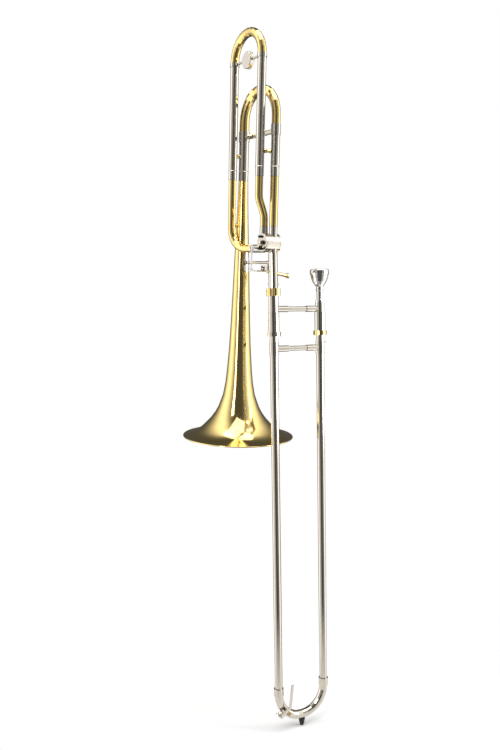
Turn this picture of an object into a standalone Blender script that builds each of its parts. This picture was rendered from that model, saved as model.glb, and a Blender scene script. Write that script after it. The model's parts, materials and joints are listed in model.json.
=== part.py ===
"""Tenor trombone with a rotary valve attachment, as separate solid pieces.

Origin: tip of the rubber bumper under the hand slide's crook. +Z runs up both slide tubes,
+X from the bell side tube to the mouthpiece side tube. The bell section has its own frame,
set at the kink where the slide meets the valve: X there runs from gooseneck to bell stem,
Y out of the bell plane on the valve lever's side, Z up the bell stem towards the bows.
"""
import math

import bmesh
import bpy
from mathutils import Matrix, Vector

MM = 0.001

# Clearances
GAP = 0.3 * MM
TURN_GAP = 0.4 * MM

# Facets
TUBE_SIDES = 16
ROUND_SIDES = 28
BELL_SIDES = 40
BEND_STEPS = 6
SHARP_ANGLE = math.radians(35)

# Hand slide
SLIDE_SPACING = 98 * MM
OUTER_TUBE_R = 7.5 * MM
OUTER_TUBE_WALL = 0.35 * MM
STOCKING_R = OUTER_TUBE_R - OUTER_TUBE_WALL - GAP
STOCKING_LENGTH = 110 * MM
STOCKING_STEP = 0.15 * MM
INNER_TUBE_R = STOCKING_R - STOCKING_STEP
INNER_TUBE_WALL = 0.35 * MM
BUMPER_LENGTH = 13 * MM
BUMPER_TIP_R = 3.5 * MM
BUMPER_BASE_R = 6.5 * MM
CROOK_TUBE_R = 8.0 * MM
CROOK_WALL = 0.6 * MM
FERRULE_LENGTH = 14 * MM
FERRULE_LAP = 2 * MM
FERRULE_WALL = 0.8 * MM
OUTER_TUBE_LENGTH = 707 * MM
INNER_TUBE_STOP = 3 * MM

# Cork barrels, at the top of the inner slide
CORK_LENGTH = 5.2 * MM
CORK_WALL = 0.9 * MM
BARREL_R = 10.0 * MM
BARREL_BORE_R = OUTER_TUBE_R + 0.7 * MM
BARREL_LENGTH = 43.5 * MM
BARREL_RING_R = 12.6 * MM
BARREL_RING_HEIGHT = 8.1 * MM
BELL_SIDE_NECK_R = 9.2 * MM
BELL_SIDE_NECK = 32.2 * MM
MOUTH_SIDE_NECK_R = 8.4 * MM
MOUTH_SIDE_NECK = 18 * MM
TENON_R = 7.2 * MM
TENON_LENGTH = 28.5 * MM
TENON_WALL = 1.2 * MM
COLLAR_R = 10.4 * MM
COLLAR_HEIGHT = 2.3 * MM

# Slide braces
BRACE_ROD_R = 4.4 * MM
BRACE_SOCKET_WALL = 0.9 * MM
BRACE_REACH = 30 * MM
BRACE_DEPTH = 9 * MM
INNER_BRACE_DROP = 5.7 * MM
SLEEVE_HEIGHT = 24 * MM
SLEEVE_WALL = 0.7 * MM
SLEEVE_DROP = 11 * MM
OUTER_BRACE_DROP = 11.8 * MM

# Slide lock
LOCK_TAB_WIDTH = 5 * MM
LOCK_TAB_THICK = 1.2 * MM
LOCK_STUD_R = 1.6 * MM

# Receiver and lock nut
RECEIVER_R = 8.4 * MM
RECEIVER_WALL = 0.8 * MM
RECEIVER_DROP = 5 * MM
RECEIVER_RING_R = 10.2 * MM
RECEIVER_RING_HEIGHT = 1.3 * MM
RECEIVER_RING_ABOVE_NUT = 8.2 * MM
THREAD_R = 10.4 * MM
NUT_R = 12.7 * MM
NUT_HEIGHT = 13.7 * MM
NUT_LIP = 2.6 * MM
NUT_SCALLOPS = 12
NUT_SCALLOP_DEPTH = 0.9 * MM

# Mouthpiece
RIM_R = 17.8 * MM
CUP_R = 12.9 * MM
CUP_DEPTH = 24 * MM
THROAT_R = 3.3 * MM
SHANK_TIP_R = 5.0 * MM
SHANK_TOP_R = 5.9 * MM
SHANK_LENGTH = 46.5 * MM
SHANK_SEAT = 26 * MM
MOUTHPIECE_HEAD = 35.6 * MM
LEADPIPE_LENGTH = 210 * MM
LEADPIPE_WALL = 0.5 * MM

# Bell section frame
KINK_Z = 895 * MM
BELL_KINK = math.radians(4.0)
BELL_TURN = math.radians(96.5)
BELL_AXIS_W = 102.5 * MM

# Bell: distance above the rim plane, outer radius
BELL_RIM_H = -359.5 * MM
BELL_PROFILE_MM = (
    (0, 108), (2.5, 98.5), (7, 87), (13.5, 76.5), (23.5, 66), (35, 55), (47, 46.3), (59, 39.8),
    (82.5, 31.3), (106, 27), (130, 24.4), (177, 21), (224, 18.7), (270, 16.9), (315, 15.2),
    (360, 13.6), (400, 12), (445, 10.4), (489.5, 9.2),
)
BELL_WALL = 1.0 * MM
BELL_RIM_ROLL = 1.6 * MM

# Valve
VALVE_W = 6 * MM
VALVE_H = 13 * MM
CASING_R = 16.5 * MM
CASING_BORE_R = 14.6 * MM
CASING_BACK = -9 * MM
CASING_FRONT = 17 * MM
ROTOR_R = CASING_BORE_R - TURN_GAP
ROTOR_BORE_R = 5.2 * MM
SPINDLE_R = 3.0 * MM
CAP_THICK = 2.5 * MM
PORT_R = 7.4 * MM
PORT_BORE_R = 6.3 * MM
PORT_TOP_H = 42 * MM
PORT_BOTTOM_H = -4.4 * MM
LOOP_PORT_W = 17 * MM
LOOP_PORT_T = 9 * MM
LOOP_PORT_REACH = 42 * MM
ARM_RADIUS = 14 * MM
ARM_THICK = 3 * MM
ARM_WIDTH = 4.4 * MM
ARM_HUB_R = 5 * MM
ARM_START = math.radians(-45)
STOP_RADIUS = 11.5 * MM
STOP_CORK_R = 2.2 * MM
STOP_CORK_LENGTH = 4.4 * MM
STUD_R = 1.5 * MM
STUD_BALL_R = 2.6 * MM
EYE_T = 35 * MM
EYE_R = 4.6 * MM
EYE_THICK = 4.4 * MM
LINK_R = 1.5 * MM
LINK_FOOT_R = 3.2 * MM

# Thumb lever
LEVER_T = 6 * MM
LEVER_H = -33 * MM
LEVER_W = 18 * MM
LEVER_HUB_R = 3.6 * MM
LEVER_HUB_LENGTH = 4.4 * MM
LEVER_PIN_R = 1.6 * MM
LEVER_PLATE = 2.2 * MM
LEVER_WIDTH = 5 * MM
LEVER_DROP = 3.4 * MM
LEVER_FOOT_GAP = 0.6 * MM
THUMB_ROD_R = 3.2 * MM
THUMB_ROD_TIP_R = 4.6 * MM
THUMB_ROD_T = -50 * MM
THUMB_ROD_DROP = 8 * MM
SADDLE_NEAR_W = 7.8 * MM
SADDLE_FAR_W = 21 * MM
SADDLE_EAR = 1.8 * MM
LEVER_SPRING_R = 3.3 * MM
LEVER_SPRING_WIRE_R = 0.4 * MM
LEVER_SPRING_TURNS = 3.5
LEVER_SPRING_PITCH = 1.3 * MM

# Bell brace
BELL_BRACE_H = -22 * MM
BELL_BRACE_R = 2.6 * MM
BELL_BRACE_BOSS_R = 4.2 * MM
BELL_BRACE_BOSS = 6 * MM
BRACE_FLANGE_HEIGHT = 38 * MM
BRACE_FLANGE_WIDTH = 13 * MM
BRACE_FLANGE_THICK = 1.4 * MM

# Main tuning slide
GOOSENECK_R = 7.6 * MM
GOOSENECK_WALL = 0.6 * MM
LEG_BASE_H = 130 * MM
MAIN_LEG_TOP_H = 201 * MM
MAIN_LEG_R = 7.9 * MM
BELL_LEG_R = 9.2 * MM
LEG_WALL = 0.55 * MM
INNER_LEG_WALL = 0.45 * MM
MAIN_INNER_LENGTH = 66 * MM
MAIN_FERRULE_HEIGHT = 18.5 * MM
MAIN_BOW_H = 236 * MM
MAIN_BRACE_H = 208.5 * MM
LEG_BEAD_UP = 16 * MM
LEG_BEAD_R = 0.5 * MM

# Valve loop slide
LOOP_T = 22.7 * MM
LOOP_RIGHT_W = 15 * MM
LOOP_LEFT_W = 104.5 * MM
LOOP_TUBE_R = 7.0 * MM
LOOP_TUBE_WALL = 0.6 * MM
LOOP_LEG_R = 7.8 * MM
LOOP_LEG_TOP_H = 332 * MM
LOOP_INNER_LENGTH = 152 * MM
LOOP_FERRULE_HEIGHT = 7.5 * MM
LOOP_BOW_H = 339 * MM
LOOP_ELBOW_H = 3 * MM
LOOP_ELBOW_BEND = 38 * MM
LOOP_NECK_BEND = 30 * MM
LOOP_NECK_LOW_H = 62 * MM
LOOP_NECK_HIGH_H = 92 * MM
CROSS_ROD_H = 336.2 * MM
CROSS_ROD_R = 2.0 * MM
CROSS_ROD_BOSS_R = 3.8 * MM
WEIGHT_R = 15 * MM
WEIGHT_THICK = 9 * MM
WEIGHT_W = 60 * MM
WEIGHT_GROOVE = 1.2 * MM

# Small braces between tubes
POST_R = 4.0 * MM
POST_H = 173.5 * MM
LOW_POST_H = 47 * MM

# Water key
KEY_ANGLE = math.radians(40)
NIPPLE_R = 4.2 * MM
NIPPLE_BORE_R = 2.0 * MM
NIPPLE_REACH = 12 * MM
KEY_CORK_R = 4.6 * MM
KEY_CORK_THICK = 2.4 * MM
KEY_CUP_R = 6.8 * MM
KEY_CUP_THICK = 1.8 * MM
KEY_PIVOT_OUT = 12.5 * MM
KEY_HUB_R = 2.8 * MM
KEY_PIN_R = 1.2 * MM
KEY_HALF = 6.6 * MM
KEY_EAR = 1.4 * MM
KEY_HUB_LENGTH = 4.6 * MM
KEY_ARM_WIDTH = 5.2 * MM
KEY_ARM_THICK = 1.2 * MM
KEY_ARM_LENGTH = 42 * MM
KEY_ARM_LEAN = math.radians(7)
KEY_SPRING_R = 2.6 * MM
KEY_SPRING_WIRE_R = 0.35 * MM
KEY_SPRING_TURNS = 3
KEY_SPRING_PITCH = 1.15 * MM
SPRING_STEPS = 9
SPRING_SIDES = 6

# Heights worked out from the sizes above
BELL_SIDE_X = -SLIDE_SPACING / 2
MOUTH_SIDE_X = SLIDE_SPACING / 2
CROOK_Z = BUMPER_LENGTH + CROOK_TUBE_R + SLIDE_SPACING / 2
OUTER_TOP_Z = CROOK_Z + OUTER_TUBE_LENGTH
CORK_TOP_Z = OUTER_TOP_Z + GAP + CORK_LENGTH
BARREL_TOP_Z = CORK_TOP_Z + GAP + 1.0 * MM
BARREL_BOTTOM_Z = BARREL_TOP_Z - BARREL_LENGTH
INNER_BRACE_Z = BARREL_TOP_Z + INNER_BRACE_DROP
SLEEVE_TOP_Z = BARREL_BOTTOM_Z - SLEEVE_DROP
OUTER_BRACE_Z = SLEEVE_TOP_Z - OUTER_BRACE_DROP
COLLAR_Z = BARREL_TOP_Z + BELL_SIDE_NECK
COLLAR_TOP_Z = COLLAR_Z + COLLAR_HEIGHT
NUT_Z = COLLAR_Z - GAP - NUT_LIP
NUT_TOP_Z = NUT_Z + NUT_HEIGHT
MOUTH_NECK_TOP_Z = BARREL_TOP_Z + MOUTH_SIDE_NECK
RECEIVER_LIP = 4.4 * MM
MOUTH_RECEIVER_TOP_Z = MOUTH_NECK_TOP_Z + GAP + RECEIVER_LIP
INNER_TOP_Z = MOUTH_RECEIVER_TOP_Z - SHANK_SEAT - 2 * MM

# Finish: colour, roughness, metallic
FINISHES = {
    "lacquered_brass": ((0.86, 0.66, 0.26), 0.16, 1.0),
    "nickel_silver": ((0.66, 0.62, 0.54), 0.18, 1.0),
    "silver_plate": ((0.86, 0.85, 0.83), 0.12, 1.0),
    "steel": ((0.55, 0.55, 0.56), 0.25, 1.0),
    "white_nylon": ((0.84, 0.84, 0.86), 0.35, 0.0),
    "black_rubber": ((0.03, 0.03, 0.03), 0.7, 0.0),
    "cork": ((0.55, 0.38, 0.22), 0.85, 0.0),
    "felt": ((0.10, 0.10, 0.11), 0.95, 0.0),
}
AXIS_TURN = {"X": Matrix.Rotation(math.pi / 2, 4, "Y"), "Y": Matrix.Rotation(-math.pi / 2, 4, "X"),
             "Z": Matrix.Identity(4)}


# Building blocks

def clear_scene():
    for old in list(bpy.data.objects):
        bpy.data.objects.remove(old)


def frame(name, parent=None, place=Matrix.Identity(4)):
    """An empty that carries pieces and stands on their joint's axis."""
    empty = bpy.data.objects.new(name, None)
    bpy.context.collection.objects.link(empty)
    empty.parent = parent
    empty.matrix_local = place
    return empty


def material(name, finish):
    colour, roughness, metallic = FINISHES[finish]
    made = bpy.data.materials.new(name)
    made.use_nodes = True
    shader = made.node_tree.nodes["Principled BSDF"]
    shader.inputs["Base Color"].default_value = (*colour, 1.0)
    shader.inputs["Roughness"].default_value = roughness
    shader.inputs["Metallic"].default_value = metallic
    return made


def add_mesh(name, points, faces, finish, parent, place):
    mesh = bpy.data.meshes.new(name)
    mesh.from_pydata(points, [], faces)
    grid = bmesh.new()
    grid.from_mesh(mesh)
    bmesh.ops.recalc_face_normals(grid, faces=grid.faces)
    grid.to_mesh(mesh)
    grid.free()
    mesh.shade_smooth()
    mesh.set_sharp_from_angle(angle=SHARP_ANGLE)
    if finish:
        mesh.materials.append(material(name, finish))
    made = bpy.data.objects.new(name, mesh)
    bpy.context.collection.objects.link(made)
    made.parent = parent
    made.matrix_local = place
    return made


def at(x, y, z, axis="Z"):
    """A place in the parent's frame, with the piece's own Z along the axis."""
    turn = AXIS_TURN[axis] if isinstance(axis, str) else axis.to_track_quat("Z", "Y").to_matrix().to_4x4()
    return Matrix.Translation((x, y, z)) @ turn


def lathe(name, profile, finish, parent, place=Matrix.Identity(4), sides=TUBE_SIDES):
    """A profile of (radius, height) turned about Z: a closed loop, or open with both ends on the axis."""
    solid = profile[0][0] == 0
    points = []
    rings = []
    for radius, height in profile:
        if radius == 0:
            rings.append([len(points)] * sides)
            points.append((0, 0, height))
            continue
        rings.append(list(range(len(points), len(points) + sides)))
        for step in range(sides):
            angle = 2 * math.pi * step / sides
            points.append((radius * math.cos(angle), radius * math.sin(angle), height))
    pairs = list(zip(rings, rings[1:])) + ([] if solid else [(rings[-1], rings[0])])
    faces = []
    for low, high in pairs:
        for step in range(sides):
            after = (step + 1) % sides
            loop = [low[step], low[after], high[after], high[step]]
            faces.append(list(dict.fromkeys(loop)))
    return add_mesh(name, points, faces, finish, parent, place)


def ring_profile(bore, radius, low, high):
    return [(radius, low), (radius, high), (bore, high), (bore, low)]


def rod_profile(radius, low, high):
    return [(0, low), (radius, low), (radius, high), (0, high)]


def bent_path(corners, bend, steps=BEND_STEPS):
    """A centre line through the corners, each inner corner rounded to the bend radius."""
    corners = [Vector(corner) for corner in corners]
    path = [corners[0]]
    for before, corner, after in zip(corners, corners[1:], corners[2:]):
        back = (before - corner).normalized()
        ahead = (after - corner).normalized()
        half = back.angle(ahead) / 2
        centre = corner + (back + ahead).normalized() * bend / math.sin(half)
        start = corner + back * bend / math.tan(half)
        turn = math.pi - 2 * half
        hinge = back.cross(ahead).normalized()
        count = max(2, round(steps * turn / (math.pi / 2)))
        for step in range(count + 1):
            spin = Matrix.Rotation(-turn * step / count, 3, hinge)
            point = centre + spin @ (start - centre)
            if (point - path[-1]).length > 0.01 * MM:
                path.append(point)
    if (corners[-1] - path[-1]).length > 0.01 * MM:
        path.append(corners[-1])
    return path


def path_rings(path, radii, sides):
    """Rings of points square to the path, turned as little as possible from one to the next."""
    tangents = []
    for index, point in enumerate(path):
        before = path[max(index - 1, 0)]
        after = path[min(index + 1, len(path) - 1)]
        into = (point - before).normalized()
        out = (after - point).normalized()
        tangents.append((into + out).normalized())
    side = tangents[0].orthogonal().normalized()
    rings = []
    for index, (point, radius) in enumerate(zip(path, radii)):
        if index:
            side = tangents[index - 1].rotation_difference(tangents[index]) @ side
        up = tangents[index].cross(side)
        ring = []
        for step in range(sides):
            angle = 2 * math.pi * step / sides
            ring.append(point + (side * math.cos(angle) + up * math.sin(angle)) * radius)
        rings.append(ring)
    return rings


def bridge(first, count, sides):
    """Faces along a run of rings whose points start at index first."""
    faces = []
    for ring in range(count - 1):
        for step in range(sides):
            after = (step + 1) % sides
            low = first + ring * sides
            faces.append([low + step, low + after, low + sides + after, low + sides + step])
    return faces


def tube(name, path, radius, bore, finish, parent, sides=TUBE_SIDES):
    """A round tube along a path, or a solid bar where bore is None."""
    count = len(path)
    radii = radius if isinstance(radius, list) else [radius] * count
    points = [point for ring in path_rings(path, radii, sides) for point in ring]
    faces = bridge(0, count, sides)
    last = (count - 1) * sides
    if bore is None:
        faces.append(list(range(sides)))
        faces.append(list(range(last, last + sides)))
        return add_mesh(name, points, faces, finish, parent, Matrix.Identity(4))
    bores = [item - (radii[0] - bore) for item in radii]
    points += [point for ring in path_rings(path, bores, sides) for point in ring]
    inner = count * sides
    faces += bridge(inner, count, sides)
    for end in (0, last):
        for step in range(sides):
            after = (step + 1) % sides
            faces.append([end + step, end + after, inner + end + after, inner + end + step])
    return add_mesh(name, points, faces, finish, parent, Matrix.Identity(4))


def block(name, low, high, finish, parent, place=Matrix.Identity(4)):
    corners = [(x, y, z) for x in (low[0], high[0]) for y in (low[1], high[1]) for z in (low[2], high[2])]
    faces = [(0, 1, 3, 2), (4, 6, 7, 5), (0, 4, 5, 1), (2, 3, 7, 6), (0, 2, 6, 4), (1, 5, 7, 3)]
    return add_mesh(name, corners, faces, finish, parent, place)


def slab(name, outline, low, high, finish, parent, place=Matrix.Identity(4)):
    """A flat outline in X and Y, raised from low to high along Z."""
    count = len(outline)
    points = [(x, y, low) for x, y in outline] + [(x, y, high) for x, y in outline]
    faces = [list(range(count)), list(range(count, 2 * count))]
    for step in range(count):
        after = (step + 1) % count
        faces.append([step, after, count + after, count + step])
    return add_mesh(name, points, faces, finish, parent, place)


def combine(target, other, operation):
    change = target.modifiers.new(other.name, "BOOLEAN")
    change.operation = operation
    change.solver = "EXACT"
    change.object = other
    other.hide_render = True
    other.display_type = "WIRE"


def join(target, *others):
    for other in others:
        combine(target, other, "UNION")


def cut(target, *others):
    for other in others:
        combine(target, other, "DIFFERENCE")


def straight(x, y, low, high):
    return [Vector((x, y, low)), Vector((x, y, high))]


def least_gap(points, wire_radius, skip):
    """Least clear distance between turns of a wound wire, on its centre points."""
    clear = min((first - second).length for index, first in enumerate(points) for second in points[index + skip:])
    return clear - 2 * wire_radius


def spring(name, coil_radius, wire_radius, turns, pitch, leg, finish, parent, place):
    """A torsion spring about Z, one unbroken wire with a straight leg at each end."""
    count = round(turns * SPRING_STEPS)
    points = []
    for step in range(count + 1):
        angle = 2 * math.pi * step / SPRING_STEPS
        height = pitch * step / SPRING_STEPS
        points.append(Vector((coil_radius * math.cos(angle), coil_radius * math.sin(angle), height)))
    print(name, "least gap in mm", round(least_gap(points, wire_radius, SPRING_STEPS // 2) / MM, 2))
    start = (points[0] - points[1]).normalized() * leg
    end = (points[-1] - points[-2]).normalized() * leg
    path = [points[0] + start] + points + [points[-1] + end]
    made = tube(name, path, wire_radius, None, finish, parent, SPRING_SIDES)
    made.matrix_local = place
    return made


# Hand slide, the part that the right hand moves

def slide_tube_path(x, low, high):
    return straight(x, 0, low, high)


def crook_path():
    bottom = CROOK_Z - SLIDE_SPACING / 2
    corners = [(BELL_SIDE_X, 0, CROOK_Z - GAP), (BELL_SIDE_X, 0, bottom),
               (MOUTH_SIDE_X, 0, bottom), (MOUTH_SIDE_X, 0, CROOK_Z - GAP)]
    return bent_path(corners, SLIDE_SPACING / 2 - 2 * GAP, 7)


def outer_slide(body):
    bore = OUTER_TUBE_R - OUTER_TUBE_WALL
    for side, x in (("bell_side", BELL_SIDE_X), ("mouthpiece_side", MOUTH_SIDE_X)):
        path = slide_tube_path(x, CROOK_Z, OUTER_TOP_Z)
        tube(f"outer_slide_tube_{side}", path, OUTER_TUBE_R, bore, "nickel_silver", body)
        ferrule_bore = CROOK_TUBE_R + 1.5 * GAP
        low = CROOK_Z - FERRULE_LAP
        profile = ring_profile(ferrule_bore, ferrule_bore + FERRULE_WALL, low, low + FERRULE_LENGTH)
        lathe(f"crook_ferrule_{side}", profile, "nickel_silver", body, at(x, 0, 0))
        outer_sleeve(side, x, body)
    rod_reach = SLIDE_SPACING / 2 - BRACE_REACH + BRACE_DEPTH - GAP
    lathe("outer_brace_rod", rod_profile(BRACE_ROD_R, -rod_reach, rod_reach), "nickel_silver", body,
          at(0, 0, OUTER_BRACE_Z, "X"))
    tube("slide_crook", crook_path(), CROOK_TUBE_R, CROOK_TUBE_R - CROOK_WALL, "nickel_silver", body)


def brace_socket(name, inner, radius, parent, place):
    """A blind cup that holds one end of a brace rod; its closed end lies inside the tube fitting."""
    bore = BRACE_ROD_R + GAP
    floor = BRACE_REACH - BRACE_DEPTH
    profile = [(0, inner), (radius, inner), (radius, BRACE_REACH), (bore, BRACE_REACH), (bore, floor), (0, floor)]
    return lathe(name, profile, None, parent, place)


def outer_sleeve(side, x, body):
    """Sleeve on the outer tube that carries the brace; the mouthpiece side one has the lock stud."""
    bore = OUTER_TUBE_R + GAP
    radius = bore + SLEEVE_WALL
    inward = 1 if x < 0 else -1
    turn = at(x, 0, OUTER_BRACE_Z, Vector((inward, 0, 0)))
    sleeve = lathe(f"outer_slide_sleeve_{side}", rod_profile(radius, SLEEVE_TOP_Z - SLEEVE_HEIGHT, SLEEVE_TOP_Z),
                   "nickel_silver", body, at(x, 0, 0))
    socket_radius = BRACE_ROD_R + GAP + BRACE_SOCKET_WALL
    join(sleeve, brace_socket(f"form_outer_socket_{side}", 0, socket_radius, body, turn))
    if x > 0:
        stud_z = SLEEVE_TOP_Z - LOCK_STUD_R - 1 * MM
        reach = BARREL_R + GAP + LOCK_TAB_THICK + 1.5 * MM
        join(sleeve, lathe("form_lock_stud", rod_profile(LOCK_STUD_R, 0, reach), None, body,
                           at(x, 0, stud_z, "X"), 10))
    bore_low = SLEEVE_TOP_Z - SLEEVE_HEIGHT - 1 * MM
    cut(sleeve, lathe(f"form_sleeve_bore_{side}", rod_profile(bore, bore_low, SLEEVE_TOP_Z + 1 * MM), None, body,
                      at(x, 0, 0)))


def slide_bumper(body):
    top = BUMPER_LENGTH + 2 * MM
    profile = [(0, 0), (BUMPER_TIP_R, 0), (BUMPER_BASE_R, BUMPER_LENGTH), (BUMPER_BASE_R, top), (0, top)]
    bumper = lathe("slide_bumper", profile, "black_rubber", body)
    cut(bumper, crook_cutter("form_bumper_seat", body))


def crook_cutter(name, body):
    return tube(name, crook_path(), CROOK_TUBE_R + GAP, None, None, body)


# Water key

def key_frame(body):
    """Frame on the crook's centre line: Z points out of the bend, X along the tube, Y to the back."""
    x = BELL_SIDE_X + SLIDE_SPACING / 2 * (1 - math.cos(KEY_ANGLE))
    z = CROOK_Z - SLIDE_SPACING / 2 * math.sin(KEY_ANGLE)
    outward = Vector((-math.cos(KEY_ANGLE), 0, -math.sin(KEY_ANGLE)))
    back = Vector((0, 1, 0))
    along = back.cross(outward)
    turn = Matrix((along, back, outward)).transposed().to_4x4()
    return frame("water_key_place", body, Matrix.Translation((x, 0, z)) @ turn)


def water_key(body):
    place = key_frame(body)
    nipple = lathe("water_key_nipple", ring_profile(NIPPLE_BORE_R, NIPPLE_R, 5 * MM, NIPPLE_REACH), "nickel_silver",
                   place)
    cut(nipple, crook_cutter("form_nipple_seat", body))
    saddle(place, body)
    spring_low = -KEY_HALF + 0.6 * MM
    spring("water_key_spring", KEY_SPRING_R, KEY_SPRING_WIRE_R, KEY_SPRING_TURNS, KEY_SPRING_PITCH, 2.2 * MM,
           "lacquered_brass", place, at(spring_low, -KEY_PIVOT_OUT, 0, "X"))
    lever = frame("water_key_pivot", place, Matrix.Translation((0, -KEY_PIVOT_OUT, 0)))
    key_lever(lever)


def saddle(place, body):
    """Bracket on the front of the crook: a foot, two ears and the pin that the key turns on."""
    foot_out = KEY_PIVOT_OUT - KEY_HUB_R - 1.2 * MM
    half = 3.2 * MM
    foot = block("water_key_saddle", (-KEY_HALF - KEY_EAR, -foot_out, -half), (KEY_HALF + KEY_EAR, -5 * MM, half),
                 "nickel_silver", place)
    for name, low in (("form_key_ear_low", -KEY_HALF - KEY_EAR), ("form_key_ear_high", KEY_HALF)):
        join(foot, block(name, (low, -KEY_PIVOT_OUT - KEY_HUB_R, -half), (low + KEY_EAR, -foot_out + 1 * MM, half),
                         None, place))
    pin = rod_profile(KEY_PIN_R, -KEY_HALF - KEY_EAR - 1 * MM, KEY_HALF + KEY_EAR + 1 * MM)
    join(foot, lathe("form_key_pin", pin, None, place, at(0, -KEY_PIVOT_OUT, 0, "X"), 12))
    cut(foot, crook_cutter("form_saddle_seat", body))


def key_lever(pivot):
    """Hub, cup and long arm of the key, as one bent piece in the pivot's frame."""
    hub_low = KEY_HALF - 0.4 * MM - KEY_HUB_LENGTH
    hub = lathe("water_key_lever", ring_profile(KEY_PIN_R + TURN_GAP, KEY_HUB_R, hub_low, hub_low + KEY_HUB_LENGTH),
                "nickel_silver", pivot, at(0, 0, 0, "X"))
    cup_low = NIPPLE_REACH + 2 * GAP + KEY_CORK_THICK
    cup_high = cup_low + KEY_CUP_THICK
    join(hub, lathe("form_key_cup", rod_profile(KEY_CUP_R, cup_low, cup_high), None, pivot,
                    at(0, KEY_PIVOT_OUT, 0)))
    front = -KEY_HUB_R - 0.3 * MM
    mid = hub_low + KEY_HUB_LENGTH / 2
    half = KEY_HUB_LENGTH / 2
    reach = KEY_PIVOT_OUT - KEY_CUP_R + 2.5 * MM
    outline = [(front, -1 * MM), (front + KEY_ARM_THICK, -1 * MM), (front + KEY_ARM_THICK, cup_low - 3 * MM),
               (reach, cup_low), (reach, cup_high), (front + 1.5 * MM, cup_high), (front, cup_high - 1.5 * MM)]
    side_turn = Matrix(((0, 0, 1, 0), (1, 0, 0, 0), (0, 1, 0, 0), (0, 0, 0, 1)))
    join(hub, slab("form_key_web", outline, mid - half, mid + half, None, pivot, side_turn))
    key_arm(hub, pivot, front, mid)


def key_arm(hub, pivot, front, mid):
    """Flat arm from the hub inwards past the tube, then up between the slide tubes."""
    inward = CROOK_TUBE_R + 1.5 * MM
    low = Vector((mid, front, 1 * MM))
    bend = Vector((mid, front, -inward))
    lean = KEY_ANGLE + KEY_ARM_LEAN
    rise = Vector((math.cos(lean), 0, -math.sin(lean)))
    tip = bend + rise * KEY_ARM_LENGTH
    points = []
    path = [low, bend, tip]
    normal = Vector((0, 1, 0))
    for index, point in enumerate(path):
        before = path[max(index - 1, 0)]
        after = path[min(index + 1, len(path) - 1)]
        along = (after - before).normalized()
        across = normal.cross(along).normalized() * KEY_ARM_WIDTH / 2
        for shift in (-across, across):
            for depth in (0, KEY_ARM_THICK):
                points.append(point + shift + normal * depth)
    faces = [(0, 1, 3, 2), (8, 10, 11, 9)]
    for step in (0, 4):
        for one, two in ((0, 1), (1, 3), (3, 2), (2, 0)):
            faces.append((step + one, step + two, step + 4 + two, step + 4 + one))
    join(hub, add_mesh("form_key_arm", points, faces, None, pivot, Matrix.Identity(4)))
    cork_low = NIPPLE_REACH + GAP
    lathe("water_key_cork", rod_profile(KEY_CORK_R, cork_low, cork_low + KEY_CORK_THICK), "cork", pivot,
          at(0, KEY_PIVOT_OUT, 0))


# Inner slide, fixed to the bell section by the lock nut

def inner_slide():
    tops = (("bell_side", BELL_SIDE_X, COLLAR_Z - 4 * MM), ("mouthpiece_side", MOUTH_SIDE_X, INNER_TOP_Z))
    for side, x, top in tops:
        low = CROOK_Z + INNER_TUBE_STOP
        step = low + STOCKING_LENGTH
        bore = INNER_TUBE_R - INNER_TUBE_WALL
        profile = [(STOCKING_R, low), (STOCKING_R, step), (INNER_TUBE_R, step + 2 * MM), (INNER_TUBE_R, top),
                   (bore, top), (bore, low)]
        lathe(f"inner_slide_tube_{side}", profile, "silver_plate", None, at(x, 0, 0))
        cork_bore = INNER_TUBE_R + GAP
        lathe(f"cork_bumper_{side}", ring_profile(cork_bore, cork_bore + CORK_WALL, OUTER_TOP_Z + GAP, CORK_TOP_Z),
              "felt", None, at(x, 0, 0))
    bell_side_barrel()
    mouth_side_barrel()
    rod_reach = SLIDE_SPACING / 2 - BRACE_REACH + BRACE_DEPTH - GAP
    lathe("inner_brace_rod", rod_profile(BRACE_ROD_R, -rod_reach, rod_reach), "nickel_silver", None,
          at(0, 0, INNER_BRACE_Z, "X"))
    slide_lock()


def barrel_bore(name, x, neck_bore, neck_top, top):
    """Stepped bore: wide for the outer slide's end and the cork, then the inner tube's size."""
    wide_top = BARREL_TOP_Z - 1.0 * MM
    profile = [(0, BARREL_BOTTOM_Z - 1 * MM), (BARREL_BORE_R, BARREL_BOTTOM_Z - 1 * MM), (BARREL_BORE_R, wide_top),
               (INNER_TUBE_R + GAP, wide_top), (INNER_TUBE_R + GAP, neck_top), (neck_bore, neck_top),
               (neck_bore, top), (0, top)]
    return lathe(name, profile, None, None, at(x, 0, 0))


def bell_side_barrel():
    x = BELL_SIDE_X
    tenon_top = COLLAR_TOP_Z + TENON_LENGTH
    ring_z = BARREL_BOTTOM_Z + BARREL_RING_HEIGHT
    profile = [(0, BARREL_BOTTOM_Z), (BARREL_RING_R, BARREL_BOTTOM_Z), (BARREL_RING_R, ring_z), (BARREL_R, ring_z),
               (BARREL_R, BARREL_TOP_Z), (BELL_SIDE_NECK_R, BARREL_TOP_Z), (BELL_SIDE_NECK_R, COLLAR_Z),
               (COLLAR_R, COLLAR_Z), (COLLAR_R, COLLAR_TOP_Z), (TENON_R, COLLAR_TOP_Z), (TENON_R, tenon_top),
               (0, tenon_top)]
    barrel = lathe("cork_barrel_bell_side", profile, "nickel_silver", None, at(x, 0, 0))
    socket_radius = BRACE_ROD_R + GAP + BRACE_SOCKET_WALL
    join(barrel, brace_socket("form_inner_socket_bell_side", 0, socket_radius, None,
                              at(x, 0, INNER_BRACE_Z, "X")))
    cut(barrel, barrel_bore("form_barrel_bore_bell_side", x, TENON_R - TENON_WALL, COLLAR_Z - 4 * MM + GAP,
                            tenon_top + 1 * MM))


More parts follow.
